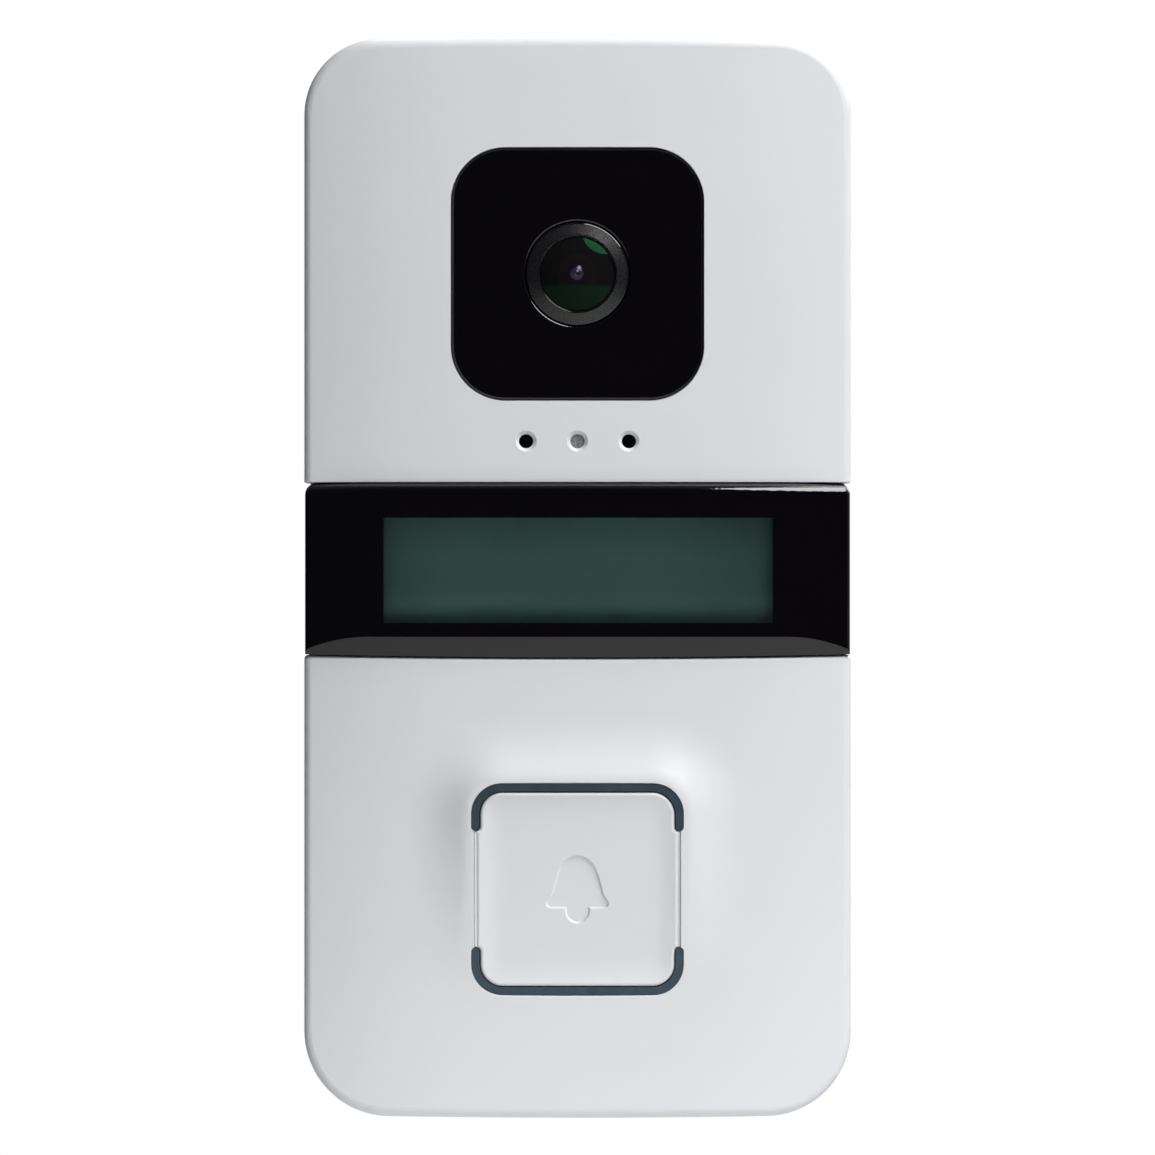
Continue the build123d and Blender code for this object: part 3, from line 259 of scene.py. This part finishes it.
def coated_glass(cz=CAM_Z):
    """Front lens: black depth behind a green multi-layer coating, with painted reflections of the iris and its inner
    glints in its base colour.
    """
    m = Mat("lens_glass")
    p = m.principled((0.0046, 0.0040, 0.0048), 0.02)
    p.inputs["Specular Tint"].default_value = (0.001, 0.140, 0.052, 1)
    o = m.xyz()
    dz = m.math("SUBTRACT", o[2], cz)
    r = m.math("SQRT", m.math("ADD", m.math("POWER", o[0], 2.0), m.math("POWER", dz, 2.0)))
    # near-black base with a faint violet centre and faint rings by radius: painted reflections of the inner elements
    col = m.ramp(m.maprange(r, 0.0, 0.0056, 0.0, 1.0),
                 [(0.0, (0.0066, 0.0046, 0.0110)), (0.26, (0.0060, 0.0046, 0.0086)), (0.36, (0.0056, 0.0048, 0.0054)),
                  (0.46, (0.0068, 0.0060, 0.0052)), (0.56, (0.0050, 0.0044, 0.0050)), (1.0, (0.0044, 0.0042, 0.0048))])

    def spot(x, z, inner, outer):
        """Soft round mask: full inside the first radius, gone at the second (mm)."""
        ex = m.math("SUBTRACT", o[0], x * MM)
        ez = m.math("SUBTRACT", dz, z * MM)
        e = m.math("SQRT", m.math("ADD", m.math("POWER", ex, 2.0), m.math("POWER", ez, 2.0)))
        return m.maprange(e, inner * MM, outer * MM, 1.0, 0.0, True)

    def over(below, mask, rgb):
        mix = m.add("ShaderNodeMix", data_type="RGBA")
        m.link(mask, mix.inputs[0])
        m.link(below, mix.inputs[6])
        mix.inputs[7].default_value = (*rgb, 1)
        return mix.outputs[2]

    # painted reflection of the pale table: a greenish tone on the lower part of the dome
    col = over(col, m.maprange(dz, -0.0013, -0.0022, 0.0, 1.0, True), (0.0056, 0.0084, 0.0062))
    # painted reflection of the iris: a grey-violet disc, fuller in its lower half, with a darker pupil spot in it
    grain = m.maprange(m.noise(2600.0, 1.0), 0.35, 0.65, 0.70, 1.0, True)
    low = m.maprange(dz, 0.0003, -0.0002, 0.60, 1.0, True)
    disc = m.math("MULTIPLY", m.math("MULTIPLY", spot(-0.10, -0.02, 0.78, 1.08), low), grain)
    col = over(col, disc, (0.034, 0.031, 0.040))
    col = over(col, spot(0.10, 0.06, 0.14, 0.38), (0.0075, 0.0066, 0.0090))
    # painted glints: bright lilac spots standing in for reflections from the inner glasses
    col = over(col, spot(-0.31, -0.29, 0.02, 0.24), (0.062, 0.058, 0.070))
    col = over(col, spot(0.48, 0.55, 0.04, 0.30), (0.120, 0.105, 0.180))
    col = over(col, spot(0.24, 0.88, 0.10, 0.42), (0.290, 0.265, 0.390))
    col = over(col, spot(0.00, 0.40, 0.02, 0.22), (0.360, 0.345, 0.420))
    m.link(col, p.inputs["Base Color"])
    return m.m


MATS["lens_glass"] = coated_glass()


def violet_glass(cz=CAM_Z):
    """Inner lens elements: nearly black, with painted reflections in the base colour: a paler iris rim, lighter in its
    lower half, and small bright painted glints at the aperture.
    """
    m = Mat("lens_glass_violet")
    p = m.principled((0.006, 0.005, 0.010), 0.04)
    p.inputs["Specular Tint"].default_value = (0.72, 0.55, 1.0, 1)
    o = m.xyz()
    dz = m.math("SUBTRACT", o[2], cz)
    r = m.math("SQRT", m.math("ADD", m.math("POWER", o[0], 2.0), m.math("POWER", dz, 2.0)))
    rim = m.math("MULTIPLY", m.maprange(r, 0.00088, 0.00100, 0.0, 1.0, True),
                 m.maprange(r, 0.00104, 0.00118, 1.0, 0.0, True))
    # painted reflection: the pale iris rim is lighter in its lower half
    low = m.maprange(dz, 0.0006, -0.0009, 0.15, 1.0, True)
    painted_rim_color = m.ramp(m.math("MULTIPLY", rim, low), [(0.0, (0.0045, 0.0035, 0.0075)), (1.0, (0.50, 0.45, 0.60))])
    # painted glints: random bright specks near the axis
    glint = m.math("MULTIPLY", m.maprange(m.noise(2400.0, 1.0), 0.56, 0.62, 0.0, 1.0, True),
                   m.maprange(r, 0.00085, 0.00060, 0.0, 1.0, True))
    mix = m.add("ShaderNodeMix", data_type="RGBA")
    m.link(glint, mix.inputs[0])
    m.link(painted_rim_color, mix.inputs[6])
    mix.inputs[7].default_value = (0.92, 0.84, 1.0, 1)
    m.link(mix.outputs[2], p.inputs["Base Color"])
    return m.m


def filter_glass():
    m = Mat("filter_glass")
    p = m.principled((0.10, 0.22, 0.26), 0.03)
    p.inputs["Specular Tint"].default_value = (1.0, 0.55, 0.65, 1)
    m.link(m.ramp(m.noise(300.0), [(0.3, (0.09, 0.20, 0.24)), (0.7, (0.11, 0.24, 0.28))]), p.inputs["Base Color"])
    return m.m


MATS["filter_glass"] = filter_glass()


def lcd_cell():
    """Reflective display cell at rest: grey-green, with painted shade making it softly darker towards its left, right
    and top edges, as under the recessed window frame, and painted light making it lighter towards the bottom.
    """
    m = Mat("lcd_cell")
    p = m.principled((0.05, 0.08, 0.07), 0.28)
    o = m.xyz()
    cx, cz, hx, hz = 0.1 * MM, 1.07 * MM, 29.15 * MM, 7.875 * MM
    sx = m.math("DIVIDE", m.math("SUBTRACT", o[0], cx), hx)
    sz = m.math("DIVIDE", m.math("SUBTRACT", o[2], cz), hz)
    # painted shade towards the right, left and top edges; painted light towards the bottom
    f = m.math("MULTIPLY", m.maprange(sx, 0.35, 1.0, 1.0, 0.68, True), m.maprange(sx, -0.55, -1.0, 1.0, 0.84, True))
    f = m.math("MULTIPLY", f, m.maprange(sz, -0.3, -0.9, 1.0, 1.45, True))
    f = m.math("MULTIPLY", f, m.maprange(sz, 0.15, 0.95, 1.0, 0.80, True))
    n = m.noise(70.0, 2.0)
    f2 = m.math("MULTIPLY", f, m.math("MULTIPLY_ADD", n, 0.08, 0.69))
    col = m.ramp(f2, [(0.0, (0.0, 0.0, 0.0)), (1.0, (0.430, 0.820, 0.775))])
    m.link(col, p.inputs["Base Color"])
    return m.m


MATS["lcd_cell"] = lcd_cell()


def circuit():
    """Solder mask with tracks and pads suggested by a cell pattern."""
    m = Mat("circuit_green")
    p = m.principled((0.012, 0.11, 0.045), 0.32)
    b = m.add("ShaderNodeTexBrick")
    b.inputs["Scale"].default_value = 420.0
    b.inputs["Mortar Size"].default_value = 0.035
    b.inputs["Color1"].default_value = (0.010, 0.095, 0.040, 1)
    b.inputs["Color2"].default_value = (0.012, 0.120, 0.052, 1)
    b.inputs["Mortar"].default_value = (0.030, 0.190, 0.090, 1)
    mp = m.add("ShaderNodeMapping")
    mp.inputs["Rotation"].default_value = (math.radians(90), 0, 0)
    m.link(m.obj(), mp.inputs["Vector"])
    m.link(mp.outputs[0], b.inputs["Vector"])
    m.link(b.outputs["Color"], p.inputs["Base Color"])
    m.link(m.bump(b.outputs["Fac"], 0.3, 0.00003), p.inputs["Normal"])
    return m.m


MATS["circuit_green"] = circuit()


def metal(name, color, rough, stretch=(1, 1, 1), scale=900.0, bump=0.15, metallic=1.0):
    m = Mat(name)
    p = m.principled(color, rough, Metallic=metallic)
    fine = m.noise(scale, 4.0, 0.6, stretch)
    lo = tuple(c * 0.90 for c in color)
    m.link(m.ramp(m.noise(60.0, 3.0), [(0.3, lo), (0.7, color)]), p.inputs["Base Color"])
    m.link(m.maprange(fine, 0.25, 0.75, rough - 0.08, rough + 0.10), p.inputs["Roughness"])
    m.link(m.bump(fine, bump, 0.00002), p.inputs["Normal"])
    return m.m


MATS["zinc_steel"] = metal("zinc_steel", (0.62, 0.64, 0.66), 0.34, (1, 1, 0.06), 900.0, 0.25)
MATS["screw_steel"] = metal("screw_steel", (0.60, 0.60, 0.59), 0.28, (1, 1, 1), 1500.0, 0.15)
MATS["can_aluminium"] = metal("can_aluminium", (0.74, 0.74, 0.75), 0.30)
MATS["terminal_brass"] = metal("terminal_brass", (0.66, 0.62, 0.52), 0.30)
MATS["coil_copper"] = metal("coil_copper", (0.52, 0.20, 0.07), 0.35, (0.08, 1, 1), 2600.0, 0.6)


def clear_resin():
    m = Mat("led_clear")
    p = m.principled((0.32, 0.30, 0.34), 0.10)
    m.link(m.ramp(m.noise(900.0), [(0.3, (0.26, 0.24, 0.28)), (0.7, (0.36, 0.34, 0.38))]), p.inputs["Base Color"])
    return m.m


MATS["led_clear"] = clear_resin()


def frosted_pipe():
    m = Mat("pipe_grey")
    p = m.principled((0.28, 0.28, 0.27), 0.6)
    v = m.add("ShaderNodeTexVoronoi")
    v.inputs["Scale"].default_value = 3200.0
    m.link(m.obj(), v.inputs["Vector"])
    m.link(m.ramp(v.outputs["Distance"], [(0.1, (0.31, 0.31, 0.30)), (0.7, (0.15, 0.15, 0.145))]),
           p.inputs["Base Color"])
    m.link(m.bump(v.outputs["Distance"], 0.6, 0.00006), p.inputs["Normal"])
    return m.m


MATS["pipe_grey"] = frosted_pipe()



def acoustic_mesh():
    """Fine black woven mesh over the microphones."""
    m = Mat("acoustic_mesh")
    p = m.principled((0.006, 0.006, 0.006), 0.75)
    w = m.add("ShaderNodeTexWave", wave_type="BANDS", bands_direction="DIAGONAL")
    w.inputs["Scale"].default_value = 1600.0
    m.link(m.obj(), w.inputs["Vector"])
    m.link(m.ramp(w.outputs["Fac"], [(0.2, (0.020, 0.019, 0.018)), (0.8, (0.075, 0.072, 0.066))]),
           p.inputs["Base Color"])
    m.link(m.bump(w.outputs["Fac"], 0.5, 0.00003), p.inputs["Normal"])
    return m.m


MATS["acoustic_mesh"] = acoustic_mesh()

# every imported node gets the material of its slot
slot_of = {s["node"]: s["material_slot"] for s in frame["record"]["subparts"]}
for name, ob in nodes.items():
    ob.data.materials.clear()
    ob.data.materials.append(MATS[slot_of[name]])
nodes["lens_inner_glasses"].data.materials[0] = violet_glass()
# the lower ring gets a lighter copy of the light guide: painted light for the extra light it catches from below
nodes["light_ring_lower"].data.materials[0] = light_guide("light_guide_lower_painted_lighter", 1.35)


# ------------------------------------------------------------------ the front lens as a fine surface of revolution
def arc_depths(r_edge, d_edge, d_apex, steps):
    """(radius, depth) pairs along a spherical surface from the axis to its edge."""
    sag = d_apex - d_edge
    big = (r_edge ** 2 + sag ** 2) / (2 * sag)
    out = []
    for i in range(steps + 1):
        r = r_edge * i / steps
        out.append((r, d_apex - (big - math.sqrt(big * big - r * r))))
    return out


def lathe(name, profile, cz, segments=192):
    """Surface of revolution about the lens axis; the profile starts and ends on the axis."""
    bm = bmesh.new()
    rings = []
    for r, d in profile:
        if r < 1e-9:
            rings.append([bm.verts.new((0, -d * MM, cz))])
        else:
            rings.append([bm.verts.new((r * MM * math.cos(2 * math.pi * k / segments), -d * MM,
                                        cz + r * MM * math.sin(2 * math.pi * k / segments)))
                          for k in range(segments)])
    for a, b in zip(rings, rings[1:]):
        for k in range(segments):
            k2 = (k + 1) % segments
            if len(a) == 1:
                bm.faces.new((a[0], b[k], b[k2]))
            elif len(b) == 1:
                bm.faces.new((a[k], b[0], a[k2]))
            else:
                bm.faces.new((a[k], b[k], b[k2], a[k2]))
    bmesh.ops.recalc_face_normals(bm, faces=bm.faces)
    for f in bm.faces:
        f.smooth = True
    for e in bm.edges:
        if len(e.link_faces) == 2 and e.calc_face_angle(0.0) > 0.5:
            e.smooth = False
    me = bpy.data.meshes.new(name)
    bm.to_mesh(me)
    bm.free()
    ob = bpy.data.objects.new(name, me)
    bpy.context.scene.collection.objects.link(ob)
    return ob


GLASS_R = 5.58
front = arc_depths(GLASS_R - 0.06, 31.88, 33.16, 44)
back = arc_depths(GLASS_R, 28.95, 29.55, 24)
lens = lathe("lens_front_fine", front + [(GLASS_R, 31.82)] + list(reversed(back)), CAM_Z)
lens.data.materials.append(MATS["lens_glass"])
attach(lens, "station")
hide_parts("lens_front_glass")

# ------------------------------------------------------------------ stage and light
sc = bpy.context.scene
sc.view_settings.view_transform = "Standard"
sc.view_settings.look = "None"
sc.view_settings.exposure = 0.0
sc.view_settings.gamma = 1.0

CEN = Vector((0.0, -0.030, 0.0))


def floor():
    bm = bmesh.new()
    bmesh.ops.create_circle(bm, cap_ends=True, radius=1.4, segments=96)
    me = bpy.data.meshes.new("floor")
    bm.to_mesh(me)
    bm.free()
    ob = bpy.data.objects.new("floor", me)
    ob.location = (0, 0, -0.26)
    sc.collection.objects.link(ob)
    m = Mat("floor_pale")
    p = m.principled((0.64, 0.64, 0.64), 0.8)
    m.link(m.ramp(m.noise(2.0), [(0.3, (0.63, 0.63, 0.63)), (0.7, (0.65, 0.65, 0.65))]), p.inputs["Base Color"])
    me.materials.append(m.m)
    return ob


floor()


def direction(right_deg, up_deg):
    """Unit vector from the object towards a light, seen from the front."""
    a, e = math.radians(right_deg), math.radians(up_deg)
    return Vector((math.sin(a) * math.cos(e), -math.cos(a) * math.cos(e), math.sin(e)))


def softbox(name, right_deg, up_deg, dist, w, h, radiance, color=(1, 1, 1), shape="RECTANGLE", spread=180):
    li = bpy.data.lights.new(name, "AREA")
    li.shape = shape
    li.size, li.size_y = w, h
    area = w * h * (math.pi / 4 if shape == "ELLIPSE" else 1.0)
    li.energy = radiance * area * math.pi
    li.color = color
    li.spread = math.radians(spread)
    ob = bpy.data.objects.new(name, li)
    d = direction(right_deg, up_deg)
    ob.location = CEN + d * dist
    ob.rotation_euler = (-d).to_track_quat("-Z", "Y").to_euler()
    sc.collection.objects.link(ob)
    ob.visible_camera = False
    return ob


def near_panel(name, place, w, h, radiance):
    """Small diffusing panel close to the object: lifts the tones without showing in its gloss."""
    li = bpy.data.lights.new(name, "AREA")
    li.shape = "RECTANGLE"
    li.size, li.size_y = w, h
    li.energy = radiance * w * h * math.pi
    ob = bpy.data.objects.new(name, li)
    ob.location = place
    ob.rotation_euler = (CEN + Vector((0, 0, place[2] * 0.35)) - Vector(place)).to_track_quat("-Z", "Y").to_euler()
    sc.collection.objects.link(ob)
    ob.visible_camera = False
    ob.visible_glossy = False
    return ob


softbox("key_upper_right", 45.0, 50.0, 1.30, 0.98, 0.98, 10.3, shape="ELLIPSE")
sheen = softbox("sheen_above_right", 0.0, 0.0, 1.0, 1.50, 1.42, 4.4, shape="ELLIPSE")
d = Vector((0.46, 0.48, 0.73)).normalized()
sheen.location = CEN + d * 1.0
sheen.rotation_euler = (-d).to_track_quat("-Z", "Y").to_euler()
sheen.visible_diffuse = False
near_panel("bounce_low_right", (0.070, -0.140, -0.150), 0.08, 0.08, 2.40)
near_panel("bounce_low_left", (-0.050, -0.100, -0.120), 0.08, 0.08, 0.80)
near_panel("bounce_low", (-0.012, -0.150, -0.176), 0.08, 0.08, 1.80)
near_panel("bounce_front", (0.0, -0.125, 0.040), 0.08, 0.08, 0.08)
near_panel("bounce_high", (0.0, -0.110, 0.150), 0.08, 0.08, 0.72)


AMBIENT = {"right": 0.30, "left": 0.03, "above": 0.15, "table": 0.6, "front": 0.036}


def world():
    w = bpy.data.worlds.new("studio")
    sc.world = w
    w.use_nodes = True
    t = w.node_tree
    t.nodes.clear()
    out = t.nodes.new("ShaderNodeOutputWorld")
    lp = t.nodes.new("ShaderNodeLightPath")
    seen = t.nodes.new("ShaderNodeBackground")
    seen.inputs[0].default_value = (1, 1, 1, 1)
    seen.inputs[1].default_value = 1.0
    amb = t.nodes.new("ShaderNodeBackground")
    mix = t.nodes.new("ShaderNodeMixShader")
    # ambient: dark in front of the object, where the dark side of the studio is, pale around and
    # behind it, dimmer on its left; a pale table top lies below the front
    tc = t.nodes.new("ShaderNodeTexCoord")
    sep = t.nodes.new("ShaderNodeSeparateXYZ")
    t.links.new(tc.outputs["Generated"], sep.inputs[0])

    def span(src, x0, x1, y0, y1, kind="SMOOTHSTEP"):
        n = t.nodes.new("ShaderNodeMapRange")
        n.interpolation_type = kind
        for i, x in zip((1, 2, 3, 4), (x0, x1, y0, y1)):
            n.inputs[i].default_value = x
        t.links.new(src, n.inputs[0])
        return n.outputs[0]

    def calc(op, u, v):
        n = t.nodes.new("ShaderNodeMath")
        n.operation = op
        t.links.new(u, n.inputs[0])
        t.links.new(v, n.inputs[1])
        return n.outputs[0]

    around = span(sep.outputs[1], -0.75, -0.05, 0.0, 1.0)
    table = calc("MULTIPLY", span(sep.outputs[2], -0.275, -0.300, 0.0, 1.0),
                 span(sep.outputs[2], -0.28, -0.80, 0.16, 1.05, "LINEAR"))
    terms = [("right", calc("MULTIPLY", around, span(sep.outputs[0], -0.2, 0.6, 0.0, 1.0))),
             ("left", calc("MULTIPLY", around, span(sep.outputs[0], 0.2, -0.6, 0.0, 1.0))),
             ("above", calc("MULTIPLY", around, span(sep.outputs[2], 0.2, 0.8, 0.0, 1.0))),
             ("table", table),
             ("front", span(sep.outputs[1], -0.40, -0.70, 0.0, 1.0))]
    total = None
    for term, src in terms:
        n = t.nodes.new("ShaderNodeMath")
        n.operation = "MULTIPLY"
        n.name = "share_" + term
        t.links.new(src, n.inputs[0])
        n.inputs[1].default_value = AMBIENT[term]
        total = n.outputs[0] if total is None else calc("ADD", total, n.outputs[0])
    both = total
    amb.inputs[0].default_value = (0.98, 1.0, 1.02, 1)
    t.links.new(both, amb.inputs[1])
    t.links.new(lp.outputs["Is Camera Ray"], mix.inputs[0])
    t.links.new(amb.outputs[0], mix.inputs[1])
    t.links.new(seen.outputs[0], mix.inputs[2])
    t.links.new(mix.outputs[0], out.inputs[0])


world()

# ------------------------------------------------------------------ camera
cam = bpy.data.cameras.new("camera")
cam.sensor_fit = "HORIZONTAL"
cam.sensor_width = 36.0
DIST = 1.20
PLANE_D = 0.0285            # the plane in which the outline is widest
FRAME_W = 0.17325           # frame width in that plane
cam.lens = 36.0 * DIST / FRAME_W
cam.clip_start, cam.clip_end = 0.05, 20
cam_ob = bpy.data.objects.new("camera", cam)
cam_ob.location = (0.0, -(PLANE_D + DIST), 0.0)
cam_ob.rotation_euler = (math.radians(90), 0, 0)
sc.collection.objects.link(cam_ob)
sc.camera = cam_ob
